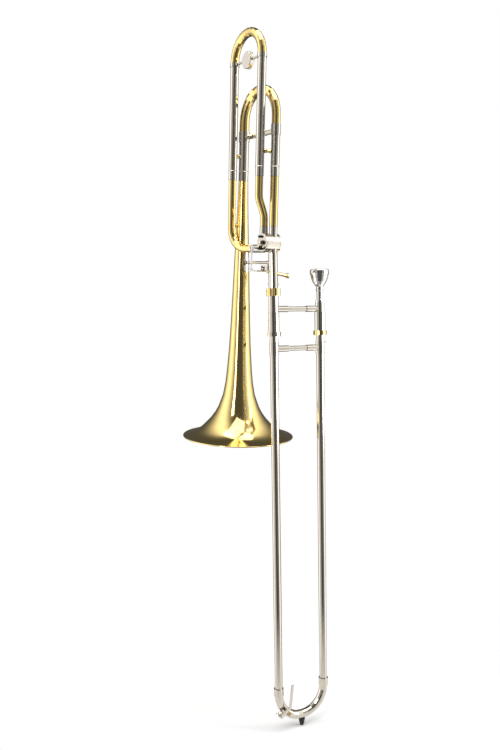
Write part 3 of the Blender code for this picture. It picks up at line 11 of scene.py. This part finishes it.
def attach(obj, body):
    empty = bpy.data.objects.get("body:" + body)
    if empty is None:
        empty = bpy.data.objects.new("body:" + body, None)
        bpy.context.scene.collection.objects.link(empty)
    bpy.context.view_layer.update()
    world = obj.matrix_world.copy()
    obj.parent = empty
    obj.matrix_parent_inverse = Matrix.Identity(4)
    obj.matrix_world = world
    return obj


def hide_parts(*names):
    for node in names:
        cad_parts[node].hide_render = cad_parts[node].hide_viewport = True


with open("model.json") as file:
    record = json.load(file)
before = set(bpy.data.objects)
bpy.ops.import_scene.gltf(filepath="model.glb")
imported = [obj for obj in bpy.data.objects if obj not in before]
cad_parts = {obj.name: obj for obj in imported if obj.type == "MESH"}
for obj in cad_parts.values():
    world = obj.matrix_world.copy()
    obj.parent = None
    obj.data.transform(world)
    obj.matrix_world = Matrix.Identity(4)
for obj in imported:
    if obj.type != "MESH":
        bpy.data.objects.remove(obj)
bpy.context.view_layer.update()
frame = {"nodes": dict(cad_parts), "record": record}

bl_info = {
    "name": "Tenor Trombone Studio",
    "version": (1, 0, 0),
    "blender": (4, 5, 0),
    "location": "View3D > Sidebar > Trombone",
    "description": "Finishes, bell and studio for a tenor trombone",
    "category": "Object",
}

MM = 0.001

# Camera of the photograph: place in metres, unit vectors ahead and up, sensor in millimetres
CAMERA_PLACE = Vector((-0.7344, -1.2567, 0.7731))
CAMERA_AHEAD = Vector((0.45014, 0.89010, -0.07134))
CAMERA_UP = Vector((0.04639, 0.05647, 0.99733))
SENSOR_HEIGHT = 36.0

# Bell: height over the rim plane and outer radius in millimetres, read along its edges in the photograph
BELL_SKIN_MM = ((1.8, 106.6), (4.5, 95.3), (9, 84.4), (15.5, 74.2), (25, 64.4), (36, 54.2), (47, 46.1),
                (59, 39.6), (82.5, 31.1), (106, 26.8), (130, 24.2), (177, 20.8), (224, 18.5), (270, 16.7),
                (315, 15.0), (360, 13.4), (400, 11.8), (445, 10.2), (489, 9.1))
BELL_WALL = 0.8 * MM
BELL_FOOT = Vector((-0.0634139, 0.1265093, 0.5435258))
BELL_UP = Vector((0.0078967, -0.0693081, 0.9975641))

# Rim wire: its radius, its corners, and its middle's shift in and down from the skin's edge in wire radii
RIM_WIRE_R = 1.2 * MM
RIM_WIRE_CORNERS = 12
RIM_WIRE_IN = 0.2
RIM_WIRE_DOWN = 0.4

# Edges that turn by more than this stay sharp
BELL_SHARP_EDGE = math.radians(40)
SOLID_SHARP_EDGE = math.radians(35)

# Studio: two bright walls, to the camera's left and right, in a dark room, and white where it looks past
DARK_ROOM = 0.10
BRIGHT_WALL = 1.9
WALLS_IN_A_TURN = 2.0
BAND_SHARPNESS = 2.5
WHITE_BACKDROP = (1, 1, 1, 1)

# Soft lights: name, place and size in metres, and power as a share of the key light's
SOFT_LIGHTS = (
    ("key_left", (-2.2, -1.2, 1.6), (0.5, 2.6), 1.0),
    ("key_right", (1.9, -1.5, 1.4), (0.5, 2.6), 1.0),
    ("top_soft", (0.0, -0.4, 3.2), (2.2, 2.2), 1.6),
)
LIGHT_AIM = Vector((0, 0, 0.65))

# Floor: its level, and the distances from the bumper between which it fades out, in metres
FLOOR_LEVEL = -1 * MM
FLOOR_SOLID = 0.05
FLOOR_FADED = 0.60
FLOOR_ROUGHNESS = 0.9

# Grain: its noise detail, the factors of roughness at its two ends, and the depth of its relief
GRAIN_DETAIL = 4.0
GLOSSIEST = 0.85
DULLEST = 1.15
RELIEF_DEPTH = 0.05 * MM

# Sockets of a Mix node set to colour, which share their names with its number and vector sockets
MIX_DARK_IN = 6
MIX_LIGHT_IN = 7
MIX_COLOUR_OUT = 2


def linear(text):
    """Linear colour from an sRGB hex value, by the sRGB standard's own curve."""
    values = [int(text[i:i + 2], 16) / 255 for i in (1, 3, 5)]
    return (*[v / 12.92 if v <= 0.04045 else ((v + 0.055) / 1.055) ** 2.4 for v in values], 1.0)


def add_node(tree, kind, links=(), **settings):
    """One node with its settings; links are (output socket, name or number of this node's input)."""
    node = tree.nodes.new(kind)
    for name, value in settings.items():
        if name in node.inputs.keys():
            node.inputs[name].default_value = value
        else:
            setattr(node, name, value)
    for source, name in links:
        tree.links.new(source, node.inputs[name])
    return node


def surface(name, dark, light, metallic, roughness, grain_mm, relief):
    """Principled surface whose colour, gloss and relief vary over a grain of real size."""
    made = bpy.data.materials.new(name)
    made.use_nodes = True
    tree = made.node_tree
    shader = tree.nodes["Principled BSDF"]
    place = add_node(tree, "ShaderNodeTexCoord")
    grain = add_node(tree, "ShaderNodeTexNoise", [(place.outputs["Object"], "Vector")], Detail=GRAIN_DETAIL)
    grain.inputs["Scale"].default_value = 1 / (grain_mm * MM)
    tone = add_node(tree, "ShaderNodeMix", [(grain.outputs["Fac"], "Factor")], data_type="RGBA")
    tone.inputs[MIX_DARK_IN].default_value = linear(dark)
    tone.inputs[MIX_LIGHT_IN].default_value = linear(light)
    gloss = add_node(tree, "ShaderNodeMapRange", [(grain.outputs["Fac"], "Value")])
    gloss.inputs["To Min"].default_value = roughness * GLOSSIEST
    gloss.inputs["To Max"].default_value = roughness * DULLEST
    bump = add_node(tree, "ShaderNodeBump", [(grain.outputs["Fac"], "Height")],
                    Strength=relief, Distance=RELIEF_DEPTH)
    tree.links.new(tone.outputs[MIX_COLOUR_OUT], shader.inputs["Base Color"])
    tree.links.new(gloss.outputs["Result"], shader.inputs["Roughness"])
    tree.links.new(bump.outputs["Normal"], shader.inputs["Normal"])
    shader.inputs["Metallic"].default_value = metallic
    return made


# The frame's own materials bear the slots' names, so these finishes need names apart from them
FINISH_PREFIX = "buffed_or_moulded_"

# Finish: dark and light hex colours, metallic, roughness, grain in millimetres, relief
FINISHES = {
    # Clear lacquer over buffed yellow brass: warm and mirror-like, with slow, faint changes of tone
    "lacquered_brass": ("#dcc079", "#e6cd8c", 1.0, 0.10, 14.0, 0.003),
    # Buffed nickel silver: a slightly warm white metal, a little less sharp than the brass
    "nickel_silver": ("#c4bcae", "#d0c9bd", 1.0, 0.12, 12.0, 0.003),
    # Silver plate: the brightest and most neutral of the metals
    "silver_plate": ("#dad8d2", "#e4e2de", 1.0, 0.09, 12.0, 0.003),
    # Spring steel: greyer and rougher than the plated parts
    "steel": ("#77797d", "#96989c", 1.0, 0.30, 1.5, 0.10),
    # Moulded nylon: milky white with a soft sheen
    "white_nylon": ("#d8d8dc", "#eaeaee", 0.0, 0.38, 1.2, 0.15),
    # Moulded rubber: nearly black and matt
    "black_rubber": ("#121212", "#202020", 0.0, 0.72, 0.9, 0.45),
    # Natural cork: brown grain of about a millimetre
    "cork": ("#6f4a28", "#b98d5a", 0.0, 0.85, 0.8, 0.60),
    # Pressed felt: dark and without gloss
    "felt": ("#1b1b1d", "#2a2a2d", 0.0, 0.95, 0.5, 0.60),
}


class TromboneSizes(bpy.types.PropertyGroup):
    """Sizes and colours that a user would change."""

    bell_facets: IntProperty(name="Bell facets", description="Faces round the bell", default=112, min=32)
    rim_wire: FloatProperty(name="Rim wire", description="Radius of the wire rolled into the bell's rim",
                            default=RIM_WIRE_R, unit="LENGTH")
    lens: FloatProperty(name="Lens", description="Focal length of the photograph's camera in millimetres",
                        default=37.85)
    key_light: FloatProperty(name="Key light", description="Power of each side light", default=26.0,
                             unit="POWER")
    floor_colour: StringProperty(name="Floor colour", description="Floor's colour, as sRGB hex",
                                 default="#f4f4f4")


def lathe_about(name, profile, facets, foot, up):
    """Closed profile of (radius, height) turned about the line through foot along up."""
    turn = Matrix.Translation(foot) @ up.to_track_quat("Z", "Y").to_matrix().to_4x4()
    mesh = bpy.data.meshes.new(name)
    grid = bmesh.new()
    rings = []
    for radius, height in profile:
        ring = []
        for step in range(facets):
            angle = 2 * math.pi * step / facets
            corner = Vector((radius * math.cos(angle), radius * math.sin(angle), height))
            ring.append(grid.verts.new(turn @ corner))
        rings.append(ring)
    for ring, after in zip(rings, rings[1:] + rings[:1]):
        for step in range(facets):
            other = (step + 1) % facets
            grid.faces.new((ring[step], ring[other], after[other], after[step]))
    bmesh.ops.recalc_face_normals(grid, faces=grid.faces)
    grid.to_mesh(mesh)
    grid.free()
    mesh.shade_smooth()
    mesh.set_sharp_from_angle(angle=BELL_SHARP_EDGE)
    made = bpy.data.objects.new(name, mesh)
    bpy.context.collection.objects.link(made)
    return made


class TROMBONE_OT_finishes(bpy.types.Operator):
    """Give every piece of the frame the finish of its slot"""

    bl_idname = "trombone.finishes"
    bl_label = "Apply finishes"

    def execute(self, context):
        made = {name: surface(FINISH_PREFIX + name, *values) for name, values in FINISHES.items()}
        for part in frame["record"]["subparts"]:
            node = frame["nodes"][part["node"]]
            node.data.materials.clear()
            node.data.materials.append(made[part["material_slot"]])
            node.data.shade_smooth()
            node.data.set_sharp_from_angle(angle=SOLID_SHARP_EDGE)
        return {"FINISHED"}


class TROMBONE_OT_bell(bpy.types.Operator):
    """Spin the bell's flare and the wire rolled into its rim"""

    bl_idname = "trombone.bell"
    bl_label = "Spin the bell"

    def execute(self, context):
        sizes = context.scene.trombone_sizes
        outside = [(radius * MM, height * MM) for height, radius in BELL_SKIN_MM]
        inside = [(radius - BELL_WALL, height) for radius, height in outside]
        skin = lathe_about("bell_flare", outside + inside[::-1], sizes.bell_facets, BELL_FOOT, BELL_UP)
        wire = []
        edge_radius, edge_height = outside[0]
        centre = Vector((edge_radius - sizes.rim_wire * RIM_WIRE_IN,
                         edge_height - sizes.rim_wire * RIM_WIRE_DOWN))
        for step in range(RIM_WIRE_CORNERS):
            angle = 2 * math.pi * step / RIM_WIRE_CORNERS
            radius = centre.x + sizes.rim_wire * math.cos(angle)
            height = centre.y + sizes.rim_wire * math.sin(angle)
            wire.append((radius, height))
        rim = lathe_about("bell_rim_wire", wire, sizes.bell_facets, BELL_FOOT, BELL_UP)
        for piece in (skin, rim):
            piece.data.materials.append(bpy.data.materials[FINISH_PREFIX + "lacquered_brass"])
            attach(piece, "bell_section")
        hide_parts("bell")
        return {"FINISHED"}


class TROMBONE_OT_stage(bpy.types.Operator):
    """Set the floor, the soft lights, the white surround and the photograph's camera"""

    bl_idname = "trombone.stage"
    bl_label = "Set the studio"

    def execute(self, context):
        sizes = context.scene.trombone_sizes
        self.floor(sizes)
        for name, place, size, share in SOFT_LIGHTS:
            self.soft_light(name, Vector(place), size, sizes.key_light * share)
        self.surround(context.scene)
        data = bpy.data.cameras.new("photo_camera")
        data.lens = sizes.lens
        data.sensor_fit = "VERTICAL"
        data.sensor_height = SENSOR_HEIGHT
        camera = bpy.data.objects.new("photo_camera", data)
        context.collection.objects.link(camera)
        right = CAMERA_AHEAD.cross(CAMERA_UP)
        turn = Matrix((right, CAMERA_UP, -CAMERA_AHEAD)).transposed().to_4x4()
        camera.matrix_world = Matrix.Translation(CAMERA_PLACE) @ turn
        context.scene.camera = camera
        context.scene.view_settings.view_transform = "Standard"
        return {"FINISHED"}

    def floor(self, sizes):
        mesh = bpy.data.meshes.new("studio_floor")
        reach = FLOOR_FADED
        corners = [(-reach, -reach, FLOOR_LEVEL), (reach, -reach, FLOOR_LEVEL),
                   (reach, reach, FLOOR_LEVEL), (-reach, reach, FLOOR_LEVEL)]
        mesh.from_pydata(corners, [], [(0, 1, 2, 3)])
        made = bpy.data.objects.new("studio_floor", mesh)
        bpy.context.collection.objects.link(made)
        paint = bpy.data.materials.new("painted_floor")
        paint.use_nodes = True
        tree = paint.node_tree
        shader = tree.nodes["Principled BSDF"]
        shader.inputs["Base Color"].default_value = linear(sizes.floor_colour)
        shader.inputs["Roughness"].default_value = FLOOR_ROUGHNESS
        place = add_node(tree, "ShaderNodeTexCoord")
        away = add_node(tree, "ShaderNodeVectorMath", [(place.outputs["Object"], "Vector")],
                        operation="LENGTH")
        fade = add_node(tree, "ShaderNodeMapRange", [(away.outputs["Value"], "Value")])
        fade.inputs["From Min"].default_value = FLOOR_SOLID
        fade.inputs["From Max"].default_value = FLOOR_FADED
        clear = add_node(tree, "ShaderNodeBsdfTransparent")
        mix = add_node(tree, "ShaderNodeMixShader",
                       [(fade.outputs["Result"], "Fac"), (shader.outputs[0], 1), (clear.outputs[0], 2)])
        tree.links.new(mix.outputs[0], tree.nodes["Material Output"].inputs["Surface"])
        mesh.materials.append(paint)

    def soft_light(self, name, place, size, power):
        data = bpy.data.lights.new(name, "AREA")
        data.shape = "RECTANGLE"
        data.size, data.size_y = size
        data.energy = power
        made = bpy.data.objects.new(name, data)
        bpy.context.collection.objects.link(made)
        aim = (LIGHT_AIM - place).normalized()
        made.matrix_world = Matrix.Translation(place) @ aim.to_track_quat("-Z", "Y").to_matrix().to_4x4()

    def surround(self, scene):
        world = bpy.data.worlds.new("studio_surround")
        world.use_nodes = True
        scene.world = world
        tree = world.node_tree
        tree.nodes.clear()
        place = add_node(tree, "ShaderNodeTexCoord")
        split = add_node(tree, "ShaderNodeSeparateXYZ", [(place.outputs["Generated"], "Vector")])
        around = add_node(tree, "ShaderNodeMath", [(split.outputs["Y"], 0), (split.outputs["X"], 1)],
                          operation="ARCTAN2")
        turned = add_node(tree, "ShaderNodeMath", [(around.outputs[0], 0)], operation="SUBTRACT")
        turned.inputs[1].default_value = math.atan2(CAMERA_AHEAD.y, CAMERA_AHEAD.x)
        turns = add_node(tree, "ShaderNodeMath", [(turned.outputs[0], 0)], operation="MULTIPLY")
        turns.inputs[1].default_value = WALLS_IN_A_TURN
        wave = add_node(tree, "ShaderNodeMath", [(turns.outputs[0], 0)], operation="COSINE")
        side = add_node(tree, "ShaderNodeMapRange", [(wave.outputs[0], "Value")])
        side.inputs["From Min"].default_value = 1.0
        side.inputs["From Max"].default_value = -1.0
        bands = add_node(tree, "ShaderNodeMath", [(side.outputs["Result"], 0)], operation="POWER")
        bands.inputs[1].default_value = BAND_SHARPNESS
        glow = add_node(tree, "ShaderNodeMapRange", [(bands.outputs[0], "Value")])
        glow.inputs["To Min"].default_value = DARK_ROOM
        glow.inputs["To Max"].default_value = BRIGHT_WALL
        room = add_node(tree, "ShaderNodeBackground", [(glow.outputs["Result"], "Color")], Strength=1.0)
        white = add_node(tree, "ShaderNodeBackground", Color=WHITE_BACKDROP, Strength=1.0)
        rays = add_node(tree, "ShaderNodeLightPath")
        mix = add_node(tree, "ShaderNodeMixShader",
                       [(rays.outputs["Is Camera Ray"], "Fac"), (room.outputs[0], 1), (white.outputs[0], 2)])
        add_node(tree, "ShaderNodeOutputWorld", [(mix.outputs[0], "Surface")])


class TROMBONE_PT_panel(bpy.types.Panel):
    """Sidebar panel with the trombone's sizes and its operators"""

    bl_idname = "TROMBONE_PT_panel"
    bl_label = "Trombone"
    bl_space_type = "VIEW_3D"
    bl_region_type = "UI"
    bl_category = "Trombone"

    def draw(self, context):
        sizes = context.scene.trombone_sizes
        for name in ("bell_facets", "rim_wire", "lens", "key_light", "floor_colour"):
            self.layout.prop(sizes, name)
        for name in ("trombone.finishes", "trombone.bell", "trombone.stage"):
            self.layout.operator(name)


CLASSES = (TromboneSizes, TROMBONE_OT_finishes, TROMBONE_OT_bell, TROMBONE_OT_stage, TROMBONE_PT_panel)


def register():
    for item in CLASSES:
        bpy.utils.register_class(item)
    bpy.types.Scene.trombone_sizes = PointerProperty(type=TromboneSizes)


def unregister():
    del bpy.types.Scene.trombone_sizes
    for item in reversed(CLASSES):
        bpy.utils.unregister_class(item)


def main():
    register()
    bpy.ops.trombone.finishes()
    bpy.ops.trombone.bell()
    bpy.ops.trombone.stage()


if __name__ == "__main__":
    main()
